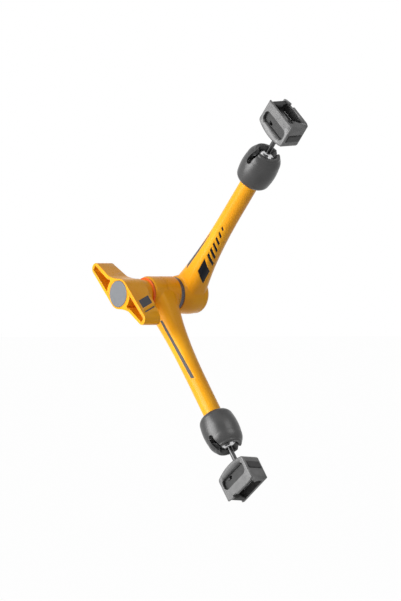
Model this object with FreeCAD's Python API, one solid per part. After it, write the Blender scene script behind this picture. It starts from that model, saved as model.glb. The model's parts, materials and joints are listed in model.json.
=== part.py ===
import FreeCAD, Part
import math
import os

# Articulating friction arm, millimetres.
# Two tapered arms meet at a clamped elbow. Each far end carries a ball joint, and on its stud a
# quick-release head. One knob draws a bolt with two cones through the elbow, and the cones push a rod
# along each arm against its ball.
# The row frame has its origin in the mouth of the lower head, and +Z up as the arm is pictured.

# Posture: each arm's lean from the vertical, and how far each head is turned about its stud.
LOWER_LEAN = 37.7
UPPER_LEAN = 43.1
HEAD_TURN = 5.0

# Elbow, measured along the hinge axis from the plane between the two hubs.
FRONT_HUB_RADIUS = 11.0
FRONT_HUB_DEPTH = 20.0
HUB_BEVEL = 1.4
HUB_GROOVE_DEPTH = 0.6
HUB_GROOVE_WIDTH = 1.7
REAR_HUB_DEPTH = 19.4
REAR_HUB_WAIST = 11.0
REAR_HUB_BULGE = 12.4
REAR_HUB_SHOULDER = 11.9
REAR_HUB_EDGE = 1.2
FRICTION_RING_THICKNESS = 3.0
FRICTION_RING_RADIUS = 10.5
FRICTION_RING_BORE = 5.9
THRUST_WASHER_THICKNESS = 1.7
THRUST_WASHER_RADIUS = 10.2
THRUST_WASHER_REGISTER = 8.6
THRUST_WASHER_BORE = 3.5
THRUST_WASHER_RECESS = 0.8

# Arms.
LOWER_TUBE_OFFSET = 14.0
UPPER_TUBE_OFFSET = 9.7
BALL_DISTANCE = 112.5
TUBE_RADIUS = 5.7
TAPER_LENGTH = 72.0
TAPER_POWER = 2.3
ARM_ROOT_HALF_THICKNESS = 9.3
ARM_ROOT_CORNER = 5.6
ARM_ROOT_STEP = 0.5
ARM_CORNER_SHARE = 0.97

# Inlays: places along the arm from the elbow, and across it from the hinge.
INLAY_DEPTH = 0.5
LOWER_STRIP_WIDTH = 2.0
LOWER_STRIP_START = 22.0
LOWER_STRIP_END = 67.0
LOWER_STRIP_START_OFFSET = -0.9
LOWER_STRIP_END_OFFSET = -2.6
UPPER_STRIP_START = 20.0
UPPER_STRIP_END = 52.0
UPPER_STRIP_START_OFFSET = -5.1
UPPER_STRIP_END_OFFSET = -2.0
UPPER_STRIP_WIDTH = 3.4
SIDE_FACING = 30.0
RHOMB_START = 16.7
RHOMB_SIDE = 9.6
RHOMB_LEAN = 7.4
RHOMB_LOW = 7.0
RHOMB_HIGH = 15.0
SLASH_COUNT = 6
SLASH_START = 34.7
SLASH_END = 58.6
SLASH_LENGTH = 7.6
SLASH_LAST_LENGTH = 2.0
SLASH_WIDTH = 2.2
SLASH_LAST_WIDTH = 1.5
SLASH_HEIGHT = 11.1
SLASH_LAST_HEIGHT = 7.4
SLASH_SLOPE = 0.85

# Draw bolt and push rods.
BOLT_SHANK_RADIUS = 3.9
BOLT_THREAD_RADIUS = 2.5
BOLT_HEAD_RADIUS = 6.8
BOLT_HEAD_HEIGHT = 3.0
BOLT_POINT_CHAMFER = 0.6
CONE_CLEARANCE = 1.0
BOLT_TRAVEL = 1.25
CONE_HALF_LENGTH = 1.6
CONE_SLOPE = 0.36
DISC_SPRING_HEIGHT = 1.0
DISC_SPRING_THICKNESS = 0.5
REAR_COVER_THICKNESS = 1.6
REAR_COVER_RADIUS = 8.0
REAR_COVER_CHAMFER = 0.4
ROD_RADIUS = 2.5
ROD_FOOT_RADIUS = 4.4
ROD_FOOT_THICKNESS = 1.8
ROD_FOOT_RIM = 1.2

# Knob, measured forward from the thrust washer.
KNOB_HEIGHT = 20.6
KNOB_NECK_RADIUS = 8.8
KNOB_NECK_FLARE = 0.5
KNOB_NECK_LENGTH = 2.5
KNOB_BOSS_RADIUS = 9.5
KNOB_CAP_RADIUS = 8.3
KNOB_CAP_THICKNESS = 2.0
KNOB_CAP_PROUD = 0.4
KNOB_CAP_ROUND = 0.5
KNOB_BUSH_RADIUS = 5.2
KNOB_BUSH_LENGTH = 15.0
KNOB_BUSH_FLOOR = 0.4
WING_REACH = 31.1
WING_LEAN = 34.5
WING_TIP_RADIUS = 3.6
WING_TIP_DEPTH = 12.0
WING_ROOT_DEPTH = 15.4
WING_HOLLOW_REACH = 14.5
WING_WALL = 2.2
WINDOW_ROOT_RADIUS = 11.2
WINDOW_CORNER = 0.5
WING_RHOMB_DEPTH = 9.8
WING_RHOMB_MARGIN = 2.6
WING_RHOMB_LEAN = 4.5
WING_RHOMB_LENGTH = 6.2
WING_RHOMB_REACH = 16.2
WING_LINE_WIDTH = 1.0
WING_LINE_GAP = 2.6
KNOB_RIM_ROUND = 0.5

# Ball joints.
BALL_RADIUS = 6.5
NECK_RADIUS = 1.55
NECK_FLARE = 0.5
BALL_SEAT_WALL = 0.9
BALL_SEAT_DROP = 2.0
SOCKET_LENGTH = 24.7
SOCKET_LIP_HEIGHT = 7.2
SOCKET_LIP_WALL = 1.3
SOCKET_BELLY_RADIUS = 11.6
SOCKET_BASE_RADIUS = 7.2
SOCKET_BASE_HEIGHT = 4.2
SOCKET_BELLY_HEIGHT = 8.8
SOCKET_SHOULDER_HEIGHT = 3.5
SOCKET_LIP_LAND = 1.5
SPIGOT_RADIUS = 5.05
SOCKET_STEP_HEIGHT = 2.2
SLOT_WIDTH = 3.9
LIP_CATCH_HEIGHT = 4.5

# Quick-release heads: length across the button, width between the cheeks, height from the stud.
HEAD_DISTANCE = 24.0
HEAD_LENGTH = 26.0
HEAD_WIDTH = 14.0
HEAD_CHEEK = 1.6
HEAD_SIDE_HEIGHT = 14.1
HEAD_FENCE_HEIGHT = 15.3
FENCE_RAMP = 5.0
FENCE_NOTCH_PLACE = -5.5
FENCE_NOTCH_WIDTH = 3.2
HEAD_LOWER_ROUND = 2.4
HEAD_UPRIGHT_ROUND = 1.1
STUD_PLACE = 1.3
HEAD_BELLY = 4.4
HEAD_CORNER_HEIGHT = -1.6
SEAT_FLOOR = 9.0
CLAW_UNDERCUT_HEIGHT = 11.3
CLAW_NOSE = 1.9
CLAW_INSET = 0.3
CLAW_CHAMFER = 1.0
CLAW_ROOT_DEPTH = 3.0
CLAW_UNDERCUT_REACH = 1.2
JAW_GAP = 17.6
WINDOW_LENGTH = 21.4
WINDOW_WIDTH = 8.2
WINDOW_HEIGHT = 4.5
WINDOW_ROUND = 3.2
LATCH_BAR_THICKNESS = 1.8
LATCH_BAR_LAP = 0.4
LATCH_BAR_BOTTOM = 1.4
LATCH_BAR_DROP = 0.3
BUTTON_DROP = 1.5
BUTTON_BOTTOM = 2.4
BUTTON_PROUD = 0.6
BUTTON_THICKNESS = 2.2
BUTTON_ROUND = 0.6
LATCH_TRAVEL = 2.0
LATCH_PIN_RADIUS = 0.9
LATCH_PIN_PLACE = -5.5
LATCH_PIN_HEIGHT = 2.6
LATCH_SPRING_RADIUS = 1.1
LATCH_SPRING_WIRE = 0.22
LATCH_SPRING_TURNS = 5
LATCH_SPRING_STEPS = 10
LATCH_SPRING_SIDES = 6
LATCH_SPRING_HEIGHT = 4.4
LATCH_SPRING_START = 4.6
STUD_SHANK_RADIUS = 2.0
STUD_COLLAR_RADIUS = 2.7
STUD_COLLAR_THICKNESS = 0.9
STUD_DEPTH = 6.8
SCREW_HEAD_RADIUS = 2.4
SCREW_HEAD_HEIGHT = 1.6
SCREW_SHANK_RADIUS = 1.2
SCREW_LENGTH = 4.6
SCREW_HOLE_SPARE = 0.4
SCREW_KEY_SHARE = 0.45
SCREW_KEY_FLOOR = 0.6

# Clearances.
RUNNING_FIT = 0.05
SLIDING_FIT = 0.1
SEATED_FIT = 0.02
FACE_GAP = 0.05
JOINT_GAP = 0.3
LATCH_GAP = 0.2

# Values that follow from the sizes above.
HALF_RING = FRICTION_RING_THICKNESS / 2
FRONT_FACE = -(HALF_RING + FRONT_HUB_DEPTH)
REAR_FACE = HALF_RING + FACE_GAP + REAR_HUB_DEPTH
WASHER_FACE = FRONT_FACE + THRUST_WASHER_RECESS - THRUST_WASHER_THICKNESS
KNOB_BACK = WASHER_FACE - FACE_GAP
KNOB_FRONT = KNOB_BACK - KNOB_HEIGHT
CONE_ANGLE = math.atan(CONE_SLOPE)
CONE_RISE = CONE_SLOPE * CONE_HALF_LENGTH
LOWER_CONE_RADIUS = BOLT_SHANK_RADIUS - CONE_RISE
UPPER_CONE_RADIUS = BOLT_SHANK_RADIUS + CONE_RISE
BOLT_COLLAR_RADIUS = BOLT_SHANK_RADIUS + 2 * CONE_RISE
COVER_FACE = REAR_FACE - REAR_COVER_THICKNESS
BOLT_HEAD_BACK = COVER_FACE - BOLT_TRAVEL - SLIDING_FIT
BOLT_HEAD_FRONT = BOLT_HEAD_BACK - BOLT_HEAD_HEIGHT
COUNTERBORE_FLOOR = BOLT_HEAD_FRONT - DISC_SPRING_HEIGHT
SEAT_OUTER_RADIUS = BALL_RADIUS + SLIDING_FIT * 2 + BALL_SEAT_WALL
SOCKET_CAVITY_RADIUS = SEAT_OUTER_RADIUS + JOINT_GAP
SOCKET_CATCH_RADIUS = BALL_RADIUS + JOINT_GAP
SOCKET_BASE = BALL_DISTANCE + SOCKET_LIP_HEIGHT - SOCKET_LENGTH
ROD_FOOT_FACE = BALL_DISTANCE - SOCKET_CAVITY_RADIUS
ROD_FOOT_BACK = ROD_FOOT_FACE - ROD_FOOT_THICKNESS
SPIGOT_END = ROD_FOOT_BACK - CONE_SLOPE * BOLT_TRAVEL - JOINT_GAP
HEAD_BASE = BALL_DISTANCE + HEAD_DISTANCE
HALF_HEAD = HEAD_LENGTH / 2
HALF_HEAD_WIDTH = HEAD_WIDTH / 2
CHAMBER_HALF_WIDTH = HALF_HEAD_WIDTH - HEAD_CHEEK
LATCH_HALF_WIDTH = CHAMBER_HALF_WIDTH - LATCH_GAP
LATCH_INNER_WIDTH = LATCH_HALF_WIDTH - LATCH_BAR_THICKNESS
CORE_HALF_WIDTH = LATCH_INNER_WIDTH - LATCH_GAP
LATCH_BAR_TOP = SEAT_FLOOR - LATCH_BAR_DROP
BUTTON_TOP = SEAT_FLOOR - BUTTON_DROP
HALF_JAW = JAW_GAP / 2
BUTTON_FACE = HALF_HEAD + BUTTON_PROUD
BUTTON_BACK = BUTTON_FACE - BUTTON_THICKNESS
CORE_END = BUTTON_BACK - LATCH_TRAVEL - LATCH_GAP

X_AXIS = FreeCAD.Vector(1, 0, 0)
Y_AXIS = FreeCAD.Vector(0, 1, 0)
Z_AXIS = FreeCAD.Vector(0, 0, 1)

# Each arm is modelled with its hinge axis on Y, and the arm itself along +Z from the elbow.
LOWER_TURN = FreeCAD.Rotation(Y_AXIS, 180 - LOWER_LEAN)
UPPER_TURN = FreeCAD.Rotation(Y_AXIS, UPPER_LEAN)
LOWER_HEAD_TURN = FreeCAD.Rotation(Z_AXIS, 180 - HEAD_TURN)
UPPER_HEAD_TURN = FreeCAD.Rotation(Z_AXIS, HEAD_TURN)
MOUTH = FreeCAD.Vector(0, -LOWER_TUBE_OFFSET, HEAD_BASE + HEAD_SIDE_HEIGHT)
MOUTH -= LOWER_HEAD_TURN.multVec(X_AXIS) * STUD_PLACE
ELBOW = LOWER_TURN.multVec(MOUTH) * -1
AT_ELBOW = FreeCAD.Placement(ELBOW, FreeCAD.Rotation())
ON_LOWER_ARM = FreeCAD.Placement(ELBOW, LOWER_TURN)
ON_UPPER_ARM = FreeCAD.Placement(ELBOW, UPPER_TURN)
LOWER_TUBE = FreeCAD.Placement(FreeCAD.Vector(0, -LOWER_TUBE_OFFSET, 0), FreeCAD.Rotation())
UPPER_TUBE = FreeCAD.Placement(FreeCAD.Vector(0, UPPER_TUBE_OFFSET, 0), FreeCAD.Rotation())


def placed(shape, *placements):
    """Copy of the shape moved by the last placement first, then by the ones before it."""
    moved = shape.copy()
    total = FreeCAD.Placement()
    for placement in placements:
        total = total.multiply(placement)
    moved.Placement = total.multiply(moved.Placement)
    return moved


def save(name, shape, *placements):
    """Write one named piece, with its placement baked into the shape."""
    moved = placed(shape, *placements)
    moved.exportStep("parts/" + name + ".step")


def turned(axis, start, *steps):
    """Solid of revolution from a half profile of (radius, station) points.

    A step of two points is an arc through the first to the second.
    """
    def point(pair):
        radius, station = pair
        if axis is Y_AXIS:
            return FreeCAD.Vector(radius, station, 0)
        return FreeCAD.Vector(radius, 0, station)

    edges = []
    here = start
    for step in steps + (start,):
        if isinstance(step[0], tuple):
            middle, end = step
            edges.append(Part.Arc(point(here), point(middle), point(end)).toShape())
        else:
            end = step
            if point(here).distanceToPoint(point(end)) > 1e-6:
                edges.append(Part.LineSegment(point(here), point(end)).toShape())
        here = end
    solid = Part.Face(Part.Wire(edges)).revolve(FreeCAD.Vector(0, 0, 0), axis, 360)
    return Part.Solid(solid.Shells[0]) if solid.ShapeType != "Solid" else solid


def cylinder(radius, start, end, axis, across=(0, 0)):
    """Cylinder along an axis from one station to another, with its centre set off across the axis."""
    if axis is X_AXIS:
        base = FreeCAD.Vector(start, across[0], across[1])
    elif axis is Y_AXIS:
        base = FreeCAD.Vector(across[0], start, across[1])
    else:
        base = FreeCAD.Vector(across[0], across[1], start)
    return Part.makeCylinder(radius, end - start, base, axis)


def box(low, high):
    """Box between two corners."""
    size = [b - a for a, b in zip(low, high)]
    return Part.makeBox(size[0], size[1], size[2], FreeCAD.Vector(*low))


def ball(radius, height=0.0):
    """Ball centred on the Z axis."""
    return Part.makeSphere(radius, FreeCAD.Vector(0, 0, height))


def prism(points, direction):
    """Straight-sided solid from a flat outline, extruded along a vector."""
    corners = [FreeCAD.Vector(*point) for point in points]
    wire = Part.makePolygon(corners + corners[:1])
    return Part.Face(wire).extrude(direction)


def smooth_edges(solid, radius, chosen):
    """Round the edges that a test picks."""
    edges = [edge for edge in solid.Edges if chosen(edge)]
    return solid.makeFillet(radius, edges) if edges else solid


# Arms
# The root of each arm is as wide as its hub and flat on its four sides. It narrows and rounds off
# along a smooth curve until it is a plain tube.

def taper(along):
    """Share of the root section that is left at a distance from the elbow."""
    return (1 - along / TAPER_LENGTH) ** TAPER_POWER


def arm_section(along, root_radius, root_offset, tube_offset, skin):
    """Rounded rectangle across the arm, smaller all round by the skin thickness."""
    share = taper(along)
    half_width = TUBE_RADIUS + (root_radius - TUBE_RADIUS) * share - skin
    half_thickness = TUBE_RADIUS + (ARM_ROOT_HALF_THICKNESS - TUBE_RADIUS) * share - skin
    centre = tube_offset + (root_offset - tube_offset) * share
    corner = min(half_width, half_thickness) * ARM_CORNER_SHARE
    corner += (ARM_ROOT_CORNER - corner) * share ** 0.5
    flat_x = half_width - corner
    flat_y = half_thickness - corner
    diagonal = corner * math.sqrt(0.5)

    def at(x, y):
        return FreeCAD.Vector(x, centre + y, along)

    edges = []
    for sx, sy in ((1, 1), (-1, 1), (-1, -1), (1, -1)):
        side = at(sx * half_width, sy * flat_y)
        middle = at(sx * (flat_x + diagonal), sy * (flat_y + diagonal))
        end = at(sx * flat_x, sy * half_thickness)
        if sx * sy < 0:
            side, end = end, side
        edges.append((side, middle, end))
    wire = []
    for index, (start, middle, end) in enumerate(edges):
        wire.append(Part.Arc(start, middle, end).toShape())
        following = edges[(index + 1) % len(edges)][0]
        wire.append(Part.LineSegment(end, following).toShape())
    return Part.Wire(wire)


def arm_body(root_radius, root_offset, tube_offset, skin=0.0):
    """Tapered part of an arm, from inside the hub to the start of the plain tube."""
    shares = (0.0, 0.12, 0.26, 0.42, 0.6, 0.8, 1.0)
    sections = [
        arm_section(TAPER_LENGTH * share, root_radius, root_offset, tube_offset, skin)
        for share in shares
    ]
    return Part.makeLoft(sections, True, False)


def tube_end(root_radius, root_offset, tube_offset):
    """Plain tube that carries on the end of the taper, and the spigot that the socket screws on to."""
    section = arm_section(TAPER_LENGTH, root_radius, root_offset, tube_offset, 0.0)
    tube = Part.Face(section).extrude(Z_AXIS * (SOCKET_BASE - TAPER_LENGTH))
    across = (0, tube_offset)
    spigot = cylinder(SPIGOT_RADIUS, SOCKET_BASE - 1.0, SPIGOT_END, Z_AXIS, across)
    return tube.fuse(spigot)


FRONT_HUB_CENTRE = (FRONT_FACE - HALF_RING) / 2
REAR_HUB_CENTRE = (REAR_FACE + HALF_RING) / 2


def front_hub():
    """Turned hub of the lower arm, with a bevelled nose and a groove behind it."""
    radius = FRONT_HUB_RADIUS
    groove = FRONT_HUB_CENTRE
    return turned(
        Y_AXIS,
        (0, FRONT_FACE),
        (radius - HUB_BEVEL, FRONT_FACE),
        (radius, FRONT_FACE + HUB_BEVEL),
        (radius, groove - HUB_GROOVE_WIDTH / 2),
        (radius - HUB_GROOVE_DEPTH, groove),
        (radius, groove + HUB_GROOVE_WIDTH / 2),
        (radius, -HALF_RING),
        (0, -HALF_RING),
    )


def rear_hub():
    """Turned hub of the upper arm, swollen in the middle and rounded at the back."""
    start = HALF_RING + FACE_GAP
    depth = REAR_FACE - start
    shoulder_place = REAR_FACE - 3.5 * REAR_HUB_EDGE
    rim = REAR_COVER_RADIUS + REAR_HUB_EDGE
    corner = (REAR_HUB_SHOULDER - rim) * math.sqrt(0.5)
    return turned(
        Y_AXIS,
        (0, start),
        (REAR_HUB_WAIST, start),
        ((REAR_HUB_BULGE, start + depth / 2), (REAR_HUB_SHOULDER, shoulder_place)),
        ((rim + corner, REAR_FACE - REAR_HUB_EDGE), (rim, REAR_FACE)),
        (0, REAR_FACE),
    )


def lower_strip_prism():
    """Straight strip down the front of the lower arm, leaning a little towards its inner edge."""
    half = LOWER_STRIP_WIDTH / 2
    start = LOWER_STRIP_START_OFFSET
    end = LOWER_STRIP_END_OFFSET
    front = FRONT_FACE - 1
    outline = [
        (start - half, front, LOWER_STRIP_START),
        (start + half, front, LOWER_STRIP_START - half),
        (end + half, front, LOWER_STRIP_END),
        (end - half, front, LOWER_STRIP_END + half),
    ]
    return prism(outline, Y_AXIS * (-LOWER_TUBE_OFFSET - front))


def upper_strip_prism():
    """Strip down the front of the upper arm, wide at the hub and running out to a point."""
    half = UPPER_STRIP_WIDTH / 2
    start = UPPER_STRIP_START_OFFSET
    end = UPPER_STRIP_END_OFFSET
    shoulder = UPPER_STRIP_START + (UPPER_STRIP_END - UPPER_STRIP_START) * 0.45
    outline = [
        (start - half, 0, UPPER_STRIP_START + half),
        (start + half, 0, UPPER_STRIP_START - half),
        ((start + end) / 2 + half * 0.6, 0, shoulder),
        (end, 0, UPPER_STRIP_END),
        ((start + end) / 2 - half * 0.6, 0, shoulder + half),
    ]
    return prism(outline, Y_AXIS * UPPER_TUBE_OFFSET)


def side_prism(corners):
    """Prism out through the upper arm's side, towards its front corner, from (across, along) points."""
    facing = math.radians(SIDE_FACING)
    reach = FreeCAD.Vector(math.cos(facing), -math.sin(facing), 0) * (2 * REAR_HUB_BULGE)
    return prism([(0, across, along) for across, along in corners], reach)


def rhomb_prism():
    """Leaning rhomb beside the upper hub."""
    return side_prism([
        (RHOMB_LOW, RHOMB_START + RHOMB_LEAN),
        (RHOMB_LOW, RHOMB_START + RHOMB_LEAN + RHOMB_SIDE),
        (RHOMB_HIGH, RHOMB_START + RHOMB_SIDE),
        (RHOMB_HIGH, RHOMB_START),
    ])


def slash_prisms():
    """Row of slashes that shrink along the upper arm and lean as the rhomb does."""
    cuts = []
    for index in range(SLASH_COUNT):
        share = index / (SLASH_COUNT - 1)
        across = SLASH_HEIGHT + (SLASH_LAST_HEIGHT - SLASH_HEIGHT) * share
        along = SLASH_START + (SLASH_END - SLASH_START) * share
        run = (SLASH_LENGTH + (SLASH_LAST_LENGTH - SLASH_LENGTH) * share) / 2
        rise = run * SLASH_SLOPE
        half = (SLASH_WIDTH + (SLASH_LAST_WIDTH - SLASH_WIDTH) * share) / 2
        cuts.append(side_prism([
            (across - run, along + rise + half),
            (across + run, along - rise + half),
            (across + run, along - rise - half),
            (across - run, along + rise - half),
        ]))
    return cuts


def skin_pieces(cuts, outer, inner):
    """Shallow inlays: the share of each cut that lies in the skin of the arm."""
    pieces = []
    for cut in cuts:
        skin = cut.common(outer).cut(inner)
        pieces.extend(solid for solid in skin.Solids if solid.Volume > INLAY_DEPTH ** 3)
    return Part.makeCompound(pieces)


def lower_arm():
    """Lower arm with its hub, and the strip let into its front."""
    root_radius = FRONT_HUB_RADIUS - ARM_ROOT_STEP
    sizes = (root_radius, FRONT_HUB_CENTRE, -LOWER_TUBE_OFFSET)
    body = arm_body(*sizes)
    strip = skin_pieces([lower_strip_prism()], body, arm_body(*sizes, skin=INLAY_DEPTH))
    arm = front_hub().fuse([body, tube_end(*sizes)]).removeSplitter()
    shank_end = -LOWER_TUBE_OFFSET - CONE_HALF_LENGTH - CONE_CLEARANCE
    arm = arm.cut(cylinder(BOLT_SHANK_RADIUS + SLIDING_FIT, shank_end, 1, Y_AXIS))
    arm = arm.cut(cylinder(BOLT_THREAD_RADIUS + SLIDING_FIT, FRONT_FACE - 1, 0, Y_AXIS))
    recess = FRONT_FACE + THRUST_WASHER_RECESS
    arm = arm.cut(cylinder(THRUST_WASHER_REGISTER + SEATED_FIT, FRONT_FACE - 1, recess, Y_AXIS))
    across = (0, -LOWER_TUBE_OFFSET)
    arm = arm.cut(cylinder(ROD_RADIUS + SLIDING_FIT, 0, BALL_DISTANCE, Z_AXIS, across))
    return arm.cut(strip), strip


def upper_arm():
    """Upper arm with its hub, its front strip, and the rhomb and slashes on its side."""
    root_radius = REAR_HUB_WAIST - ARM_ROOT_STEP
    sizes = (root_radius, REAR_HUB_CENTRE, UPPER_TUBE_OFFSET)
    body = arm_body(*sizes)
    inner = arm_body(*sizes, skin=INLAY_DEPTH)
    strip = skin_pieces([upper_strip_prism()], body, inner)
    inlays = skin_pieces([rhomb_prism()] + slash_prisms(), body, inner)
    arm = rear_hub().fuse([body, tube_end(*sizes)]).removeSplitter()
    cone_start = UPPER_TUBE_OFFSET - CONE_HALF_LENGTH - CONE_CLEARANCE
    arm = arm.cut(cylinder(BOLT_SHANK_RADIUS + SLIDING_FIT, 0, REAR_FACE, Y_AXIS))
    arm = arm.cut(cylinder(BOLT_COLLAR_RADIUS + SLIDING_FIT, cone_start, REAR_FACE, Y_AXIS))
    arm = arm.cut(cylinder(REAR_COVER_RADIUS + SEATED_FIT, COUNTERBORE_FLOOR, REAR_FACE + 1, Y_AXIS))
    across = (0, UPPER_TUBE_OFFSET)
    arm = arm.cut(cylinder(ROD_RADIUS + SLIDING_FIT, 0, BALL_DISTANCE, Z_AXIS, across))
    return arm.cut(strip).cut(inlays), strip, inlays


# Elbow hardware

def friction_ring():
    """Flat ring between the two hubs."""
    disc = cylinder(FRICTION_RING_RADIUS, -HALF_RING, HALF_RING, Y_AXIS)
    return disc.cut(cylinder(FRICTION_RING_BORE, -HALF_RING - 1, HALF_RING + 1, Y_AXIS))


def thrust_washer():
    """Flanged washer that the knob turns against, with its register let into the front hub."""
    back = FRONT_FACE + THRUST_WASHER_RECESS
    return turned(
        Y_AXIS,
        (THRUST_WASHER_BORE, WASHER_FACE),
        (THRUST_WASHER_RADIUS, WASHER_FACE),
        (THRUST_WASHER_RADIUS, FRONT_FACE),
        (THRUST_WASHER_REGISTER, FRONT_FACE),
        (THRUST_WASHER_REGISTER, back),
        (THRUST_WASHER_BORE, back),
    )


def centre_bolt():
    """Draw bolt: threaded end, lower cone, shank, upper cone, collar and head."""
    knob_end = KNOB_BACK - KNOB_BUSH_LENGTH + KNOB_BUSH_FLOOR + SLIDING_FIT
    lower = -LOWER_TUBE_OFFSET
    upper = UPPER_TUBE_OFFSET
    return turned(
        Y_AXIS,
        (0, knob_end),
        (BOLT_THREAD_RADIUS - BOLT_POINT_CHAMFER, knob_end),
        (BOLT_THREAD_RADIUS, knob_end + BOLT_POINT_CHAMFER),
        (BOLT_THREAD_RADIUS, lower - CONE_HALF_LENGTH),
        (LOWER_CONE_RADIUS - CONE_RISE, lower - CONE_HALF_LENGTH),
        (BOLT_SHANK_RADIUS, lower + CONE_HALF_LENGTH),
        (BOLT_SHANK_RADIUS, upper - CONE_HALF_LENGTH),
        (BOLT_COLLAR_RADIUS, upper + CONE_HALF_LENGTH),
        (BOLT_COLLAR_RADIUS, BOLT_HEAD_FRONT),
        (BOLT_HEAD_RADIUS, BOLT_HEAD_FRONT),
        (BOLT_HEAD_RADIUS, BOLT_HEAD_BACK),
        (0, BOLT_HEAD_BACK),
    )


def disc_spring():
    """Dished spring washer under the bolt head."""
    inner = BOLT_COLLAR_RADIUS + SLIDING_FIT
    outer = REAR_COVER_RADIUS - SLIDING_FIT
    floor = COUNTERBORE_FLOOR
    dish = DISC_SPRING_HEIGHT - DISC_SPRING_THICKNESS - FACE_GAP
    return turned(
        Y_AXIS,
        (inner, floor + dish),
        (outer, floor),
        (outer, floor + DISC_SPRING_THICKNESS),
        (inner, floor + dish + DISC_SPRING_THICKNESS),
    )


def rear_cover():
    """Flush cover that closes the back of the rear hub."""
    return turned(
        Y_AXIS,
        (0, COVER_FACE),
        (REAR_COVER_RADIUS, COVER_FACE),
        (REAR_COVER_RADIUS, REAR_FACE - REAR_COVER_CHAMFER),
        (REAR_COVER_RADIUS - REAR_COVER_CHAMFER, REAR_FACE),
        (0, REAR_FACE),
    )


def push_rod(cone_radius):
    """Rod with a round nose on the cone and a dished foot behind the ball seat."""
    nose = cone_radius + (ROD_RADIUS + SLIDING_FIT) / math.cos(CONE_ANGLE)
    rod = cylinder(ROD_RADIUS, nose, ROD_FOOT_FACE, Z_AXIS)
    foot = cylinder(ROD_FOOT_RADIUS, ROD_FOOT_BACK, ROD_FOOT_FACE + ROD_FOOT_RIM, Z_AXIS)
    solid = rod.fuse([ball(ROD_RADIUS, nose), foot])
    return solid.cut(ball(SOCKET_CAVITY_RADIUS, BALL_DISTANCE)).removeSplitter()


# Knob
# An S-shaped wing knob. Each wing runs straight from the boss to its tip on one side, and on the other
# it is hollow. A neck with a slight flare runs back to the washer.

WING_ANGLE = math.radians(WING_LEAN)
WING_ALONG = FreeCAD.Vector(math.cos(WING_ANGLE), 0, -math.sin(WING_ANGLE))
WING_ACROSS = FreeCAD.Vector(math.sin(WING_ANGLE), 0, math.cos(WING_ANGLE))


def wing_point(reach, offset, side):
    """Point on a wing: distance out from the hinge axis, and offset towards its straight side."""
    return (WING_ALONG * reach + WING_ACROSS * offset) * side


def wing_outline():
    """Closed outline of the two wings, the same after half a turn, about the hinge axis."""
    tip_reach = WING_REACH - WING_TIP_RADIUS
    pitch = math.asin((KNOB_BOSS_RADIUS - WING_TIP_RADIUS) / tip_reach)
    tangent = (math.sin(pitch), math.cos(pitch))
    drop = KNOB_BOSS_RADIUS - WING_TIP_RADIUS
    hollow_radius = ((WING_HOLLOW_REACH / 2) ** 2 + drop ** 2) / (2 * drop)
    turn = math.asin(min(WING_HOLLOW_REACH / 2 / hollow_radius, 1.0))
    edges = []
    for side in (1, -1):
        root_top = wing_point(KNOB_BOSS_RADIUS * tangent[0], KNOB_BOSS_RADIUS * tangent[1], side)
        tip_top = wing_point(
            tip_reach + WING_TIP_RADIUS * tangent[0], WING_TIP_RADIUS * tangent[1], side
        )
        tip_end = wing_point(WING_REACH, 0, side)
        tip_low = wing_point(tip_reach, -WING_TIP_RADIUS, side)
        waist = wing_point(WING_HOLLOW_REACH, -WING_TIP_RADIUS, side)
        middle = wing_point(
            WING_HOLLOW_REACH - hollow_radius * math.sin(turn / 2),
            -WING_TIP_RADIUS - hollow_radius * (1 - math.cos(turn / 2)),
            side,
        )
        reach_low = WING_HOLLOW_REACH - hollow_radius * math.sin(turn)
        drop_low = -WING_TIP_RADIUS - hollow_radius * (1 - math.cos(turn))
        scale = KNOB_BOSS_RADIUS / math.hypot(reach_low, drop_low)
        root_low = wing_point(reach_low * scale, drop_low * scale, side)
        next_top = wing_point(KNOB_BOSS_RADIUS * tangent[0], KNOB_BOSS_RADIUS * tangent[1], -side)
        boss = root_low + next_top
        boss = boss * (KNOB_BOSS_RADIUS / boss.Length)
        edges.append(Part.LineSegment(root_top, tip_top).toShape())
        edges.append(Part.Arc(tip_top, tip_end, tip_low).toShape())
        edges.append(Part.LineSegment(tip_low, waist).toShape())
        edges.append(Part.Arc(waist, middle, root_low).toShape())
        edges.append(Part.Arc(root_low, boss, next_top).toShape())
    return Part.Wire(edges)


def wing_windows(outline):
    """Window through each wing, an even wall inside the outline and clear of the boss."""
    inset = Part.Face(outline).makeOffset2D(-WING_WALL)
    circle = Part.Wire(Part.makeCircle(WINDOW_ROOT_RADIUS, FreeCAD.Vector(0, 0, 0), Y_AXIS))
    windows = []
    for face in inset.cut(Part.Face(circle)).Faces:
        if face.CenterOfMass.Length > WINDOW_ROOT_RADIUS:
            window = face.extrude(Y_AXIS * (WING_ROOT_DEPTH + 2))
            window.translate(Y_AXIS * (KNOB_FRONT - 1))
            windows.append(smooth_edges(window, WINDOW_CORNER, is_along_hinge))
    return windows


def is_along_hinge(edge):
    """Whether an edge is straight and runs along the hinge axis."""
    low = edge.Vertexes[0].Point
    high = edge.Vertexes[-1].Point
    return abs(edge.Length - abs(high.y - low.y)) < 1e-6


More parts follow.
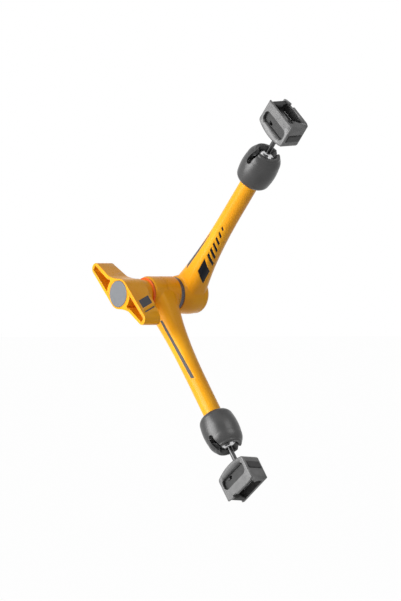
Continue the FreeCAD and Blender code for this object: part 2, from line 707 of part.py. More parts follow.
def wing_inlay_prisms():
    """Leaning rhomb, and a thin line beside it, on the straight flank of each wing."""
    front = WING_RHOMB_MARGIN
    back = WING_RHOMB_MARGIN + WING_RHOMB_DEPTH
    line = WING_RHOMB_REACH + WING_RHOMB_LENGTH + WING_LINE_GAP
    cuts = []
    for side in (1, -1):
        for start, width in ((WING_RHOMB_REACH, WING_RHOMB_LENGTH), (line, WING_LINE_WIDTH)):
            corners = []
            for reach, depth in (
                (start, front),
                (start + width, front),
                (start + width - WING_RHOMB_LEAN, back),
                (start - WING_RHOMB_LEAN, back),
            ):
                spot = wing_point(reach, 0, side) + Y_AXIS * (KNOB_FRONT + depth)
                corners.append((spot.x, spot.y, spot.z))
            cuts.append(prism(corners, WING_ACROSS * (KNOB_BOSS_RADIUS * 1.5 * side)))
    return cuts


def wing_body(outline, skin=0.0):
    """Wings with a swept back, smaller all round by the skin thickness."""
    face = Part.Face(outline)
    if skin:
        face = face.makeOffset2D(-skin)
    wings = face.extrude(Y_AXIS * (WING_ROOT_DEPTH + 1))
    wings.translate(Y_AXIS * KNOB_FRONT)
    back_root = KNOB_FRONT + WING_ROOT_DEPTH
    back_tip = KNOB_FRONT + WING_TIP_DEPTH
    rim = WING_REACH + 2
    behind = turned(
        Y_AXIS,
        (0, back_root),
        (KNOB_BOSS_RADIUS, back_root),
        (rim, back_tip),
        (rim, back_root + 3),
        (0, back_root + 3),
    )
    return wings.cut(behind)


def on_knob_front(edge):
    """Whether an edge lies in the flat front of the knob."""
    return all(abs(vertex.Y - KNOB_FRONT) < 1e-6 for vertex in edge.Vertexes)


def knob():
    """Knob with windows, neck, cap recess and bush bore, and the dark inlays in its flanks."""
    outline = wing_outline()
    wings = wing_body(outline)
    inlays = skin_pieces(wing_inlay_prisms(), wings, wing_body(outline, INLAY_DEPTH))
    wings = smooth_edges(wings, KNOB_RIM_ROUND, on_knob_front)
    neck = turned(
        Y_AXIS,
        (0, KNOB_FRONT + 2),
        (KNOB_BOSS_RADIUS - KNOB_NECK_FLARE, KNOB_FRONT + 2),
        (KNOB_BOSS_RADIUS - KNOB_NECK_FLARE, KNOB_FRONT + WING_ROOT_DEPTH - 2),
        (KNOB_NECK_RADIUS, KNOB_BACK - KNOB_NECK_LENGTH),
        (KNOB_NECK_RADIUS, KNOB_BACK),
        (0, KNOB_BACK),
    )
    solid = wings.fuse(neck)
    for window in wing_windows(outline):
        solid = solid.cut(window)
    recess = KNOB_FRONT + KNOB_CAP_THICKNESS - KNOB_CAP_PROUD
    solid = solid.cut(cylinder(KNOB_CAP_RADIUS + SEATED_FIT, KNOB_FRONT - 1, recess, Y_AXIS))
    bush_end = KNOB_BACK - KNOB_BUSH_LENGTH
    solid = solid.cut(cylinder(KNOB_BUSH_RADIUS + SEATED_FIT, bush_end, KNOB_BACK + 1, Y_AXIS))
    return solid.cut(inlays).removeSplitter(), inlays


def knob_cap():
    """Disc pressed into the front of the knob."""
    front = KNOB_FRONT - KNOB_CAP_PROUD
    radius = KNOB_CAP_RADIUS
    corner = KNOB_CAP_ROUND * (1 - math.sqrt(0.5))
    return turned(
        Y_AXIS,
        (0, front),
        (radius - KNOB_CAP_ROUND, front),
        ((radius - corner, front + corner), (radius, front + KNOB_CAP_ROUND)),
        (radius, front + KNOB_CAP_THICKNESS),
        (0, front + KNOB_CAP_THICKNESS),
    )


def knob_bush():
    """Threaded bush in the knob, on the end of the draw bolt."""
    end = KNOB_BACK - KNOB_BUSH_LENGTH
    bush = cylinder(KNOB_BUSH_RADIUS, end, KNOB_BACK, Y_AXIS)
    bore = BOLT_THREAD_RADIUS + RUNNING_FIT
    return bush.cut(cylinder(bore, end + KNOB_BUSH_FLOOR, KNOB_BACK + 1, Y_AXIS))


# Ball joints
# The ball drops into the socket from the arm side and bears on the lip. A dished seat behind it is
# pushed by the rod. Two slots in the lip let the stud fold down square to the arm.

def socket():
    """Barrel-shaped socket with its inside turned and its two slots milled."""
    lip = SOCKET_LIP_HEIGHT
    base = lip - SOCKET_LENGTH
    bore = SPIGOT_RADIUS + SEATED_FIT
    cavity = SOCKET_CAVITY_RADIUS
    catch = SOCKET_CATCH_RADIUS
    belly = SOCKET_BELLY_RADIUS
    step = SOCKET_STEP_HEIGHT

    def on_sphere(radius, height):
        return (math.sqrt(radius ** 2 - height ** 2), height)

    catch_edge = on_sphere(catch, LIP_CATCH_HEIGHT)
    catch_root = on_sphere(catch, step)
    cavity_root = on_sphere(cavity, step)
    cavity_base = (bore, -math.sqrt(cavity ** 2 - bore ** 2))
    lip_inner = catch_edge[0] + SOCKET_LIP_LAND
    lip_outer = lip_inner + SOCKET_LIP_WALL
    barrel = turned(
        Z_AXIS,
        (bore, base),
        (SOCKET_BASE_RADIUS, base),
        ((belly - 1.8, base + SOCKET_BASE_HEIGHT / 3), (belly - 0.6, base + SOCKET_BASE_HEIGHT)),
        ((belly, base + SOCKET_BELLY_HEIGHT), (belly - 0.45, 0.0)),
        ((belly - 1.2, SOCKET_SHOULDER_HEIGHT), (lip_outer + 0.9, lip - 1.2)),
        ((lip_outer + 0.5, lip - 0.35), (lip_outer, lip)),
        (lip_inner, lip),
        catch_edge,
        (on_sphere(catch, (step + LIP_CATCH_HEIGHT) / 2), catch_root),
        cavity_root,
        ((cavity, 0.0), cavity_base),
    )
    half = SLOT_WIDTH / 2
    reach = SOCKET_BELLY_RADIUS + 1
    slot = box((-half, -reach, 0), (half, reach, lip + 1))
    barrel = barrel.cut(slot.fuse(cylinder(half, -reach, reach, Y_AXIS)))
    barrel.translate(Z_AXIS * BALL_DISTANCE)
    return barrel


def ball_seat():
    """Dished seat behind the ball."""
    shell = ball(SEAT_OUTER_RADIUS).cut(ball(SEAT_OUTER_RADIUS - BALL_SEAT_WALL))
    wide = SEAT_OUTER_RADIUS + 1
    shell = shell.cut(box((-wide, -wide, -BALL_SEAT_DROP), (wide, wide, wide)))
    shell.translate(Z_AXIS * BALL_DISTANCE)
    return shell


def ball_stud():
    """Ball, neck, collar and the shank that carries the head."""
    collar_top = HEAD_DISTANCE - HEAD_BELLY - FACE_GAP
    collar_base = collar_top - STUD_COLLAR_THICKNESS
    root_radius = NECK_RADIUS + NECK_FLARE
    neck_root = math.sqrt(BALL_RADIUS ** 2 - root_radius ** 2)
    top = HEAD_DISTANCE + STUD_DEPTH
    hole = SCREW_SHANK_RADIUS
    stud = turned(
        Z_AXIS,
        (0, -BALL_RADIUS),
        ((BALL_RADIUS, 0), (root_radius, neck_root)),
        ((NECK_RADIUS + NECK_FLARE / 4, neck_root + NECK_FLARE), (NECK_RADIUS, neck_root + 3 * NECK_FLARE)),
        (NECK_RADIUS, collar_base),
        (STUD_COLLAR_RADIUS, collar_base),
        (STUD_COLLAR_RADIUS, collar_top),
        (STUD_SHANK_RADIUS, collar_top),
        (STUD_SHANK_RADIUS, top),
        (hole, top),
        (hole, top - SCREW_LENGTH - SCREW_HOLE_SPARE),
        (0, top - SCREW_LENGTH - SCREW_HOLE_SPARE),
    )
    stud.translate(Z_AXIS * BALL_DISTANCE)
    return stud


def ball_screw():
    """Screw in the end of the stud that keeps the head on it."""
    top = HEAD_DISTANCE + STUD_DEPTH
    key = SCREW_HEAD_RADIUS * SCREW_KEY_SHARE
    screw = turned(
        Z_AXIS,
        (0, top - SCREW_LENGTH),
        (SCREW_SHANK_RADIUS - SEATED_FIT, top - SCREW_LENGTH),
        (SCREW_SHANK_RADIUS - SEATED_FIT, top),
        (SCREW_HEAD_RADIUS, top),
        (SCREW_HEAD_RADIUS, top + SCREW_HEAD_HEIGHT),
        (0, top + SCREW_HEAD_HEIGHT),
    )
    corners = []
    for index in range(6):
        angle = math.radians(60 * index)
        corners.append((key * math.cos(angle), key * math.sin(angle), top + SCREW_KEY_FLOOR))
    screw = screw.cut(prism(corners, Z_AXIS * SCREW_HEAD_HEIGHT))
    screw.translate(Z_AXIS * BALL_DISTANCE)
    return screw


# Quick-release heads
# The head's own frame has the button on +X, the fence on +Y, and the stud coming up from below.

def head_block():
    """Outer block of a head: upright ends, a belly curved down to the stud, and a ramped top."""
    low = HEAD_CORNER_HEIGHT
    half = HALF_HEAD
    side = -HALF_HEAD_WIDTH
    corners = [
        (half, low),
        (half, HEAD_SIDE_HEIGHT),
        (half - FENCE_RAMP / 2, HEAD_FENCE_HEIGHT),
        (FENCE_RAMP - half, HEAD_FENCE_HEIGHT),
        (-half, HEAD_SIDE_HEIGHT),
        (-half, low),
    ]
    points = [FreeCAD.Vector(x, side, z) for x, z in corners]
    edges = [Part.LineSegment(a, b).toShape() for a, b in zip(points, points[1:])]
    edges.append(Part.Arc(points[-1], FreeCAD.Vector(0, side, -HEAD_BELLY), points[0]).toShape())
    block = Part.Face(Part.Wire(edges)).extrude(Y_AXIS * HEAD_WIDTH)

    def lower_corner(edge):
        middle = edge.CenterOfMass
        return abs(abs(middle.x) - half) < 0.01 and abs(middle.z - low) < 0.01

    def upright(edge):
        middle = edge.CenterOfMass
        return abs(abs(middle.x) - half) < 0.01 and abs(abs(middle.y) - HALF_HEAD_WIDTH) < 0.01

    block = smooth_edges(block, HEAD_LOWER_ROUND, lower_corner)
    return smooth_edges(block, HEAD_UPRIGHT_ROUND, upright)


def cheek_window(start, end):
    """Opening through a cheek with rounded corners, from one Y to another."""
    low = (-WINDOW_LENGTH / 2, start, WINDOW_HEIGHT - WINDOW_WIDTH / 2)
    high = (WINDOW_LENGTH / 2, end, WINDOW_HEIGHT + WINDOW_WIDTH / 2)
    return smooth_edges(box(low, high), WINDOW_ROUND, is_along_hinge)


def nose_outline(base, tip, half_width, height):
    """Flat-sided claw nose in plan, from one face to its point."""
    return [
        (base, -half_width, height),
        (tip, 0, height),
        (base, half_width, height),
    ]


def head():
    """Head body with its seat, fixed claw, latch lanes, windows and stud bore."""
    half = HALF_HEAD
    wide = HALF_HEAD_WIDTH
    chamber = CHAMBER_HALF_WIDTH
    core = CORE_HALF_WIDTH
    over = HEAD_FENCE_HEIGHT + 1
    notch_start = FENCE_NOTCH_PLACE - FENCE_NOTCH_WIDTH / 2
    notch_end = FENCE_NOTCH_PLACE + FENCE_NOTCH_WIDTH / 2
    undercut_end = HALF_JAW + CLAW_UNDERCUT_REACH
    block = head_block()
    cuts = [
        box((-half - 1, -wide - 1, HEAD_SIDE_HEIGHT), (half + 1, chamber, over)),
        box((notch_start, chamber - 1, HEAD_SIDE_HEIGHT), (notch_end, wide + 1, over)),
        box((-half - 1, -chamber, LATCH_BAR_BOTTOM - LATCH_GAP), (-HALF_JAW + LATCH_GAP, chamber, over)),
        box((CORE_END, -chamber, BUTTON_BOTTOM - LATCH_GAP), (half + 1, chamber, BUTTON_TOP)),
        box((-HALF_JAW - 1, -chamber, SEAT_FLOOR), (undercut_end, chamber, CLAW_UNDERCUT_HEIGHT)),
    ]
    for sign in (1, -1):
        inner, outer = sorted((sign * core, sign * chamber))
        lane_end = BUTTON_BACK + LATCH_BAR_LAP + LATCH_GAP
        cuts.append(box((-half, inner, LATCH_BAR_BOTTOM - LATCH_GAP), (lane_end, outer, SEAT_FLOOR)))
        start, end = sorted((sign * (chamber - 0.5), sign * (wide + 1)))
        cuts.append(cheek_window(start, end))
    mouth = box((-HALF_JAW - 1, -chamber, CLAW_UNDERCUT_HEIGHT - 0.01), (HALF_JAW, chamber, over))
    nose = prism(
        nose_outline(HALF_JAW + 0.5, HALF_JAW - CLAW_NOSE, chamber / 2, CLAW_UNDERCUT_HEIGHT),
        Z_AXIS * (HEAD_SIDE_HEIGHT - CLAW_UNDERCUT_HEIGHT),
    )
    cuts.append(mouth.cut(nose))
    bore = STUD_SHANK_RADIUS + RUNNING_FIT
    stud = (STUD_PLACE, 0)
    cuts.append(cylinder(bore, -HEAD_BELLY - 1, SEAT_FLOOR, Z_AXIS, stud))
    screw_seat = STUD_DEPTH - FACE_GAP
    cuts.append(cylinder(SCREW_HEAD_RADIUS + SLIDING_FIT, screw_seat, over, Z_AXIS, stud))
    spring_pocket = LATCH_SPRING_RADIUS + LATCH_SPRING_WIRE + LATCH_GAP
    across = (0, LATCH_SPRING_HEIGHT)
    cuts.append(cylinder(spring_pocket, LATCH_SPRING_START, half, X_AXIS, across))
    pin = LATCH_PIN_RADIUS + SEATED_FIT
    cuts.append(cylinder(pin, -core - 1, core + 1, Y_AXIS, (LATCH_PIN_PLACE, LATCH_PIN_HEIGHT)))
    solid = block
    for cut in cuts:
        solid = solid.cut(cut)
    return solid.removeSplitter()


def latch():
    """Sliding latch: a button, two bars that run past the core, and the moving claw."""
    wide = LATCH_HALF_WIDTH
    inner = LATCH_INNER_WIDTH
    low = LATCH_BAR_BOTTOM
    top = LATCH_BAR_TOP
    claw_back = -HALF_HEAD + CLAW_INSET
    claw_face = -HALF_JAW
    button = box((BUTTON_BACK, -wide, BUTTON_BOTTOM), (BUTTON_FACE, wide, BUTTON_TOP - LATCH_GAP))
    button = smooth_edges(button, BUTTON_ROUND, lambda edge: abs(edge.CenterOfMass.x - BUTTON_FACE) < 0.01)
    pieces = [button]
    for sign in (1, -1):
        near, far = sorted((sign * inner, sign * wide))
        bar = box((claw_back, near, low), (BUTTON_BACK + LATCH_BAR_LAP, far, top))
        slot_start = LATCH_PIN_PLACE - LATCH_PIN_RADIUS - SLIDING_FIT
        slot_end = LATCH_PIN_PLACE + LATCH_TRAVEL + LATCH_PIN_RADIUS + SLIDING_FIT
        radius = LATCH_PIN_RADIUS + SLIDING_FIT
        for x in (slot_start + radius, slot_end - radius):
            bar = bar.cut(cylinder(radius, near - 1, far + 1, Y_AXIS, (x, LATCH_PIN_HEIGHT)))
        bar = bar.cut(box(
            (slot_start + radius, near - 1, LATCH_PIN_HEIGHT - radius),
            (slot_end - radius, far + 1, LATCH_PIN_HEIGHT + radius),
        ))
        pieces.append(bar)
    top_edge = HEAD_SIDE_HEIGHT - LATCH_GAP
    claw = box((claw_back, -wide, SEAT_FLOOR - CLAW_ROOT_DEPTH), (claw_face, wide, top_edge))
    claw = claw.makeChamfer(CLAW_CHAMFER, [
        edge for edge in claw.Edges
        if abs(edge.CenterOfMass.x - claw_back) < 0.01 and abs(edge.CenterOfMass.z - top_edge) < 0.01
    ])
    pieces.append(claw)
    pieces.append(prism(
        nose_outline(claw_face - 0.5, claw_face + CLAW_NOSE, wide / 2, CLAW_UNDERCUT_HEIGHT),
        Z_AXIS * (top_edge - CLAW_UNDERCUT_HEIGHT),
    ))
    return pieces[0].fuse(pieces[1:]).removeSplitter()


def latch_pin():
    """Dowel across the head that the two bars slide on."""
    return cylinder(
        LATCH_PIN_RADIUS, -LATCH_HALF_WIDTH, LATCH_HALF_WIDTH, Y_AXIS,
        (LATCH_PIN_PLACE, LATCH_PIN_HEIGHT),
    )


def latch_spring():
    """Coil spring between the core and the button."""
    start = LATCH_SPRING_START + LATCH_SPRING_WIRE + FACE_GAP
    end = BUTTON_BACK - LATCH_SPRING_WIRE - FACE_GAP
    count = LATCH_SPRING_TURNS * LATCH_SPRING_STEPS
    points = []
    for index in range(count + 1):
        angle = 2 * math.pi * index / LATCH_SPRING_STEPS
        x = start + (end - start) * index / count
        y = LATCH_SPRING_RADIUS * math.cos(angle)
        z = LATCH_SPRING_HEIGHT + LATCH_SPRING_RADIUS * math.sin(angle)
        points.append(FreeCAD.Vector(x, y, z))
    path = Part.makePolygon(points)
    heading = points[1] - points[0]
    section = Part.makeCircle(LATCH_SPRING_WIRE, points[0], heading)
    ring = Part.Wire([section])
    corners = ring.discretize(Number=LATCH_SPRING_SIDES + 1)
    profile = Part.makePolygon(corners)
    return path.makePipeShell([profile], True, False, 1)


def main():
    """Build every piece and write it in the row frame."""
    os.makedirs("parts", exist_ok=True)
    arm, strip = lower_arm()
    save("lower_arm", arm, ON_LOWER_ARM)
    save("lower_arm_strip", strip, ON_LOWER_ARM)
    arm, strip, inlays = upper_arm()
    save("upper_arm", arm, ON_UPPER_ARM)
    save("upper_arm_strip", strip, ON_UPPER_ARM)
    save("upper_arm_inlays", inlays, ON_UPPER_ARM)

    save("friction_ring", friction_ring(), AT_ELBOW)
    save("thrust_washer", thrust_washer(), AT_ELBOW)
    save("centre_bolt", centre_bolt(), AT_ELBOW)
    save("disc_spring", disc_spring(), AT_ELBOW)
    save("rear_cover", rear_cover(), AT_ELBOW)
    body, inlays = knob()
    save("locking_knob", body, AT_ELBOW)
    save("knob_inlays", inlays, AT_ELBOW)
    save("knob_cap", knob_cap(), AT_ELBOW)
    save("knob_bush", knob_bush(), AT_ELBOW)

    sides = (
        ("lower", ON_LOWER_ARM, LOWER_TUBE, LOWER_CONE_RADIUS, LOWER_HEAD_TURN),
        ("upper", ON_UPPER_ARM, UPPER_TUBE, UPPER_CONE_RADIUS, UPPER_HEAD_TURN),
    )
    off_stud = FreeCAD.Placement(X_AXIS * -STUD_PLACE, FreeCAD.Rotation())
    for side, on_arm, on_tube, cone_radius, turn in sides:
        at_head = FreeCAD.Placement(Z_AXIS * HEAD_BASE, turn).multiply(off_stud)
        save(side + "_push_rod", push_rod(cone_radius), on_arm, on_tube)
        save(side + "_socket", socket(), on_arm, on_tube)
        save(side + "_ball_seat", ball_seat(), on_arm, on_tube)
        save(side + "_ball_stud", ball_stud(), on_arm, on_tube)
        save(side + "_ball_screw", ball_screw(), on_arm, on_tube)
        save(side + "_head", head(), on_arm, on_tube, at_head)
        save(side + "_latch", latch(), on_arm, on_tube, at_head)
        save(side + "_latch_pin", latch_pin(), on_arm, on_tube, at_head)
        save(side + "_latch_spring", latch_spring(), on_arm, on_tube, at_head)


main()
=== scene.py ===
import json
import math

import bpy
from mathutils import Matrix, Vector

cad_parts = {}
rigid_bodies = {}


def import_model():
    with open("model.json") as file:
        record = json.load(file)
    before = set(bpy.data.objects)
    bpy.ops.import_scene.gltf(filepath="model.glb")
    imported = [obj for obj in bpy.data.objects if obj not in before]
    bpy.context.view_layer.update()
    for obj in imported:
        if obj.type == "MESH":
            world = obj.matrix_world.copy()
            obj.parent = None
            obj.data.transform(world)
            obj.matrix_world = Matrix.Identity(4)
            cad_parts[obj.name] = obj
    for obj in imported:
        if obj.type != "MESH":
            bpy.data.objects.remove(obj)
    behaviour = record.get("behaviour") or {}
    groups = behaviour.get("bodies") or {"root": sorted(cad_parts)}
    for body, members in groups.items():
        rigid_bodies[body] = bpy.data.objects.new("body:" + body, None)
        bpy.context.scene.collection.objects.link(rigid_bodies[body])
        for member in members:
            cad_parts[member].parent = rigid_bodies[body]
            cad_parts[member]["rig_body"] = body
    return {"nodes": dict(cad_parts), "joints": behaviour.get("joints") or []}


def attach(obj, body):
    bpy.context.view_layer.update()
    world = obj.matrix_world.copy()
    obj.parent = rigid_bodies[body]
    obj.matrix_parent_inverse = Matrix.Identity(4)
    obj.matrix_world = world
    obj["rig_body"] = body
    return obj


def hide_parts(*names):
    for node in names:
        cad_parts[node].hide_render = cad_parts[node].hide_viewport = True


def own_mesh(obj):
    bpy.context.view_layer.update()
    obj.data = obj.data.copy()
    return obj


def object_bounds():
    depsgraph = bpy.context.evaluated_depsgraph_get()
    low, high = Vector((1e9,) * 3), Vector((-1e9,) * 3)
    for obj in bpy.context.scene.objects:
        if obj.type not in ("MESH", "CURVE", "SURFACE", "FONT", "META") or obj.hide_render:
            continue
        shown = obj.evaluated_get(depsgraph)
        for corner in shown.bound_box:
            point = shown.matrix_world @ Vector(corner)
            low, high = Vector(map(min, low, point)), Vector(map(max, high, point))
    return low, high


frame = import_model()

cad_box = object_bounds()
bpy.ops.object.select_all(action="DESELECT")

# The elbow's hinge and the two balls place everything else. Each arm runs straight from the hinge to its
# ball, each latch is pressed along its own line, and the knob is on the hinge's front.
MM = 0.001
joints = {joint["name"]: joint for joint in frame["joints"]}
elbow = Vector(joints["elbow"]["pos_m"])
hinge = Vector(joints["elbow"]["axis"])
balls = {side: Vector(joints[side + "_head_swivel"]["pos_m"]) for side in ("lower", "upper")}
arm_lines = {side: Vector(joints[side + "_head_swivel"]["axis"]) for side in ("lower", "upper")}
press_lines = {side: -Vector(joints[side + "_latch_press"]["axis"]) for side in ("lower", "upper")}


# The lower arm is one turned and milled aluminium forging: the front hub, a root with four flats, and
# the tube. It is enamelled a warm yellow with a soft gloss, and a grey strip is let into its front.
ENAMEL = (0.95, 0.43, 0.014, 1)
ENAMEL_DEEP = (0.92, 0.38, 0.01, 1)
STRIP_GREY = (0.06, 0.058, 0.056, 1)
STRIP_RUBBED = (0.1, 0.098, 0.095, 1)
SMOOTHING = math.radians(32)
MERGE = 0.002 * MM


class Shade:
    """A value in a finish. Arithmetic on it adds the Math nodes, and node() adds any other node."""

    def __init__(self, tree, socket):
        self.tree = tree
        self.socket = socket

    def node(self, kind, settings, inputs, output=0):
        made = self.tree.nodes.new(kind)
        for name, value in settings.items():
            setattr(made, name, value)
        for key, value in inputs.items():
            if isinstance(value, Shade):
                self.tree.links.new(value.socket, made.inputs[key])
            else:
                made.inputs[key].default_value = value
        return Shade(self.tree, made.outputs[output])

    def math(self, operation, first, second):
        return self.node("ShaderNodeMath", {"operation": operation}, {0: first, 1: second})

    def __add__(self, other):
        return self.math("ADD", self, other)

    def __radd__(self, other):
        return self.math("ADD", other, self)

    def __sub__(self, other):
        return self.math("SUBTRACT", self, other)

    def __rsub__(self, other):
        return self.math("SUBTRACT", other, self)

    def __mul__(self, other):
        return self.math("MULTIPLY", self, other)

    def __rmul__(self, other):
        return self.math("MULTIPLY", other, self)

    def noise(self, scale, detail=2.0):
        """Soft random cells, scale of them in a metre, from 0 to 1."""
        return self.node("ShaderNodeTexNoise", {}, {"Vector": self, "Scale": scale, "Detail": detail})

    def along(self, origin, direction):
        """Distance along a line from a point, in metres."""
        shifted = self.node("ShaderNodeVectorMath", {"operation": "SUBTRACT"}, {0: self, 1: origin})
        return shifted.node("ShaderNodeVectorMath", {"operation": "DOT_PRODUCT"},
                            {0: shifted, 1: direction}, "Value")

    def away_from(self, centre):
        """Distance from a point, in metres."""
        return self.node("ShaderNodeVectorMath", {"operation": "DISTANCE"}, {0: self, 1: centre}, "Value")

    def rings(self, lines):
        """Random bands along this distance, lines of them in a metre, from 0 to 1."""
        return self.node("ShaderNodeTexNoise", {"noise_dimensions": "1D"},
                         {"W": self, "Scale": lines, "Detail": 3.0})

    def steps(self, low, high):
        """0 below the low value, 1 above the high one and a smooth rise between them."""
        return self.node("ShaderNodeMapRange", {"interpolation_type": "SMOOTHSTEP"},
                         {"Value": self, "From Min": low, "From Max": high})

    def blend(self, first, second):
        """A colour from the first, where this value is 0, to the second, where it is 1."""
        return self.node("ShaderNodeMix", {"data_type": "RGBA"}, {0: self, 6: first, 7: second}, 2)

    def bumped(self, depth):
        """Surface normal for this height pattern, its full height given in metres."""
        return self.node("ShaderNodeBump", {}, {"Height": self, "Strength": 1.0, "Distance": depth}, "Normal")


def new_finish(name, **fixed):
    """A material with its fixed values set, its shader, and the place on the piece as a shade."""
    material = bpy.data.materials.new(name)
    material.use_nodes = True
    tree = material.node_tree
    shader = tree.nodes["Principled BSDF"]
    for socket, value in fixed.items():
        shader.inputs[socket.replace("_", " ")].default_value = value
    place = Shade(tree, tree.nodes.new("ShaderNodeTexCoord").outputs["Object"])
    return material, shader, place


def connect(shader, **varying):
    """Link what changes over the surface to the shader's sockets."""
    for socket, value in varying.items():
        value.tree.links.new(value.socket, shader.inputs[socket.replace("_", " ")])


def enamel():
    """Yellow enamel with a soft gloss, a slight drift in its depth and a faint flow in its surface."""
    finish, shader, place = new_finish("yellow_enamel", Specular_IOR_Level=0.18)
    drift = place.noise(38.0)
    flow = place.noise(900.0, 3.0)
    grain = place.noise(5200.0)
    connect(
        shader,
        Base_Color=drift.steps(0.35, 0.7).blend(ENAMEL, ENAMEL_DEEP),
        Roughness=0.25 + flow * 0.06,
        Normal=(flow * 0.8 + grain * 0.2).bumped(0.0015 * MM),
    )
    return finish


def filled_strip():
    """Matt grey fill, a little rough from being rubbed down."""
    finish, shader, place = new_finish("grey_fill", Specular_IOR_Level=0.25)
    rubbed = place.noise(2600.0, 3.0)
    connect(
        shader,
        Base_Color=rubbed.blend(STRIP_GREY, STRIP_RUBBED),
        Roughness=0.42 + rubbed * 0.2,
        Normal=rubbed.bumped(0.01 * MM),
    )
    return finish


def refined(node, name, finish):
    """A piece with the node's own shape, its seams joined and its curves shaded smooth."""
    source = frame["nodes"][node]
    piece = bpy.data.objects.new(name, source.data.copy())
    bpy.context.scene.collection.objects.link(piece)
    bpy.ops.object.select_all(action="DESELECT")
    bpy.context.view_layer.objects.active = piece
    piece.select_set(True)
    bpy.ops.object.mode_set(mode="EDIT")
    bpy.ops.mesh.select_all(action="SELECT")
    bpy.ops.mesh.remove_doubles(threshold=MERGE)
    bpy.ops.object.mode_set(mode="OBJECT")
    bpy.ops.object.shade_smooth_by_angle(angle=SMOOTHING)
    evened = piece.modifiers.new("evened", "WEIGHTED_NORMAL")
    evened.keep_sharp = True
    evened.weight = 100
    bpy.ops.object.modifier_apply(modifier=evened.name)
    piece.select_set(False)
    dressed(piece, finish)
    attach(piece, source["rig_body"])
    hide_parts(node)
    return piece


def dressed(piece, finish):
    """Give a piece one finish all over."""
    piece.data.materials.clear()
    piece.data.materials.append(finish)


yellow = enamel()
grey_fill = filled_strip()
refined("lower_arm", "lower_arm_forging", yellow)
refined("lower_arm_strip", "lower_arm_inlay", grey_fill)


# The upper arm is the same kind of forging with a fuller hub. Its side carries a black rhomb and a row
# of slashes that shrink towards the tube, and its front a grey strip that runs out to a point.
RESIN_BLACK = (0.003, 0.004, 0.008, 1)
RESIN_BLUISH = (0.007, 0.009, 0.016, 1)


def black_fill():
    """Smooth black resin."""
    finish, shader, place = new_finish("black_resin", Specular_IOR_Level=0.15)
    cloud = place.noise(420.0)
    connect(
        shader,
        Base_Color=cloud.blend(RESIN_BLACK, RESIN_BLUISH),
        Roughness=0.26 + cloud * 0.14,
        Normal=cloud.bumped(0.01 * MM),
    )
    return finish


resin = black_fill()
refined("upper_arm", "upper_arm_forging", yellow)
refined("upper_arm_strip", "upper_arm_stripe", grey_fill)
refined("upper_arm_inlays", "upper_arm_rhomb_and_slashes", resin)


# Between the hubs lies a dark ring that gives the elbow its grip, and in front an orange washer that
# the knob turns against. Bolt, disc spring and rods are plain turned steel inside the arms.
FIBRE_DARK = (0.03, 0.03, 0.038, 1)
FIBRE_FLECK = (0.26, 0.26, 0.32, 1)
ORANGE_DEEP = (0.86, 0.13, 0.018, 1)
ORANGE = (0.95, 0.2, 0.03, 1)
STEEL = (0.62, 0.62, 0.63, 1)
STEEL_DULL = (0.42, 0.42, 0.43, 1)
TOOL_LINES = 9000.0


def pressed_fibre():
    """Dark pressed fibre with fine flecks that catch the light."""
    finish, shader, place = new_finish("pressed_fibre")
    fleck = place.noise(3400.0, 4.0)
    connect(
        shader,
        Base_Color=fleck.steps(0.42, 0.72).blend(FIBRE_DARK, FIBRE_FLECK),
        Roughness=0.55 - fleck * 0.2,
        Normal=fleck.bumped(0.02 * MM),
    )
    return finish


def moulded_orange():
    """Smooth moulded orange plastic."""
    finish, shader, place = new_finish("orange_plastic", Coat_Weight=0.2)
    cloud = place.noise(700.0)
    connect(
        shader,
        Base_Color=cloud.blend(ORANGE_DEEP, ORANGE),
        Roughness=0.3 + cloud * 0.12,
        Normal=cloud.bumped(0.01 * MM),
    )
    return finish


def turned_steel(name, light, dark, roughness, origin, direction):
    """Steel with the fine rings that the tool leaves, spaced along the piece's own axis."""
    finish, shader, place = new_finish(name, Metallic=1.0)
    ring = place.along(origin, direction).rings(TOOL_LINES)
    cloud = place.noise(160.0)
    connect(
        shader,
        Base_Color=(ring * 0.7 + cloud * 0.3).blend(dark, light),
        Roughness=roughness + ring * 0.16,
        Normal=ring.bumped(0.008 * MM),
    )
    return finish


bolt_steel = turned_steel("bolt_steel", STEEL, STEEL_DULL, 0.22, elbow, hinge)
refined("friction_ring", "elbow_friction_ring", pressed_fibre())
refined("thrust_washer", "knob_thrust_washer", moulded_orange())
refined("centre_bolt", "elbow_centre_bolt", bolt_steel)
refined("disc_spring", "elbow_disc_spring", bolt_steel)
refined("rear_cover", "elbow_rear_cover", yellow)
refined("knob_bush", "knob_threaded_bush", bolt_steel)
for side in ("lower", "upper"):
    rod_steel = turned_steel(side + "_rod_steel", STEEL, STEEL_DULL, 0.22, balls[side], arm_lines[side])
    refined(side + "_push_rod", side + "_rod", rod_steel)


# The knob is die-cast and enamelled in the arm's yellow, with a rhomb and a line of slate-grey fill in
# each wing's flank. A bead-blasted disc closes its front.
DISC_DARK = (0.1, 0.105, 0.114, 1)
DISC_SPARKLE = (0.235, 0.243, 0.255, 1)
SLATE = (0.035, 0.038, 0.05, 1)
SLATE_PALE = (0.06, 0.065, 0.082, 1)


def blasted_disc():
    """Blue-grey aluminium, bead-blasted to an even sparkle."""
    finish, shader, place = new_finish("blasted_disc", Metallic=0.5, Specular_IOR_Level=0.3)
    sparkle = place.noise(4200.0, 4.0)
    cloud = place.noise(300.0)
    connect(
        shader,
        Base_Color=(sparkle * 0.75 + cloud * 0.25).blend(DISC_DARK, DISC_SPARKLE),
        Roughness=0.42 + sparkle * 0.2,
        Normal=sparkle.bumped(0.03 * MM),
    )
    return finish


def slate_fill():
    """Dark slate-grey fill of the knob's rhombs and lines."""
    finish, shader, place = new_finish("slate_fill", Specular_IOR_Level=0.25)
    cloud = place.noise(520.0)
    connect(
        shader,
        Base_Color=cloud.blend(SLATE, SLATE_PALE),
        Roughness=0.3 + cloud * 0.15,
        Normal=cloud.bumped(0.01 * MM),
    )
    return finish


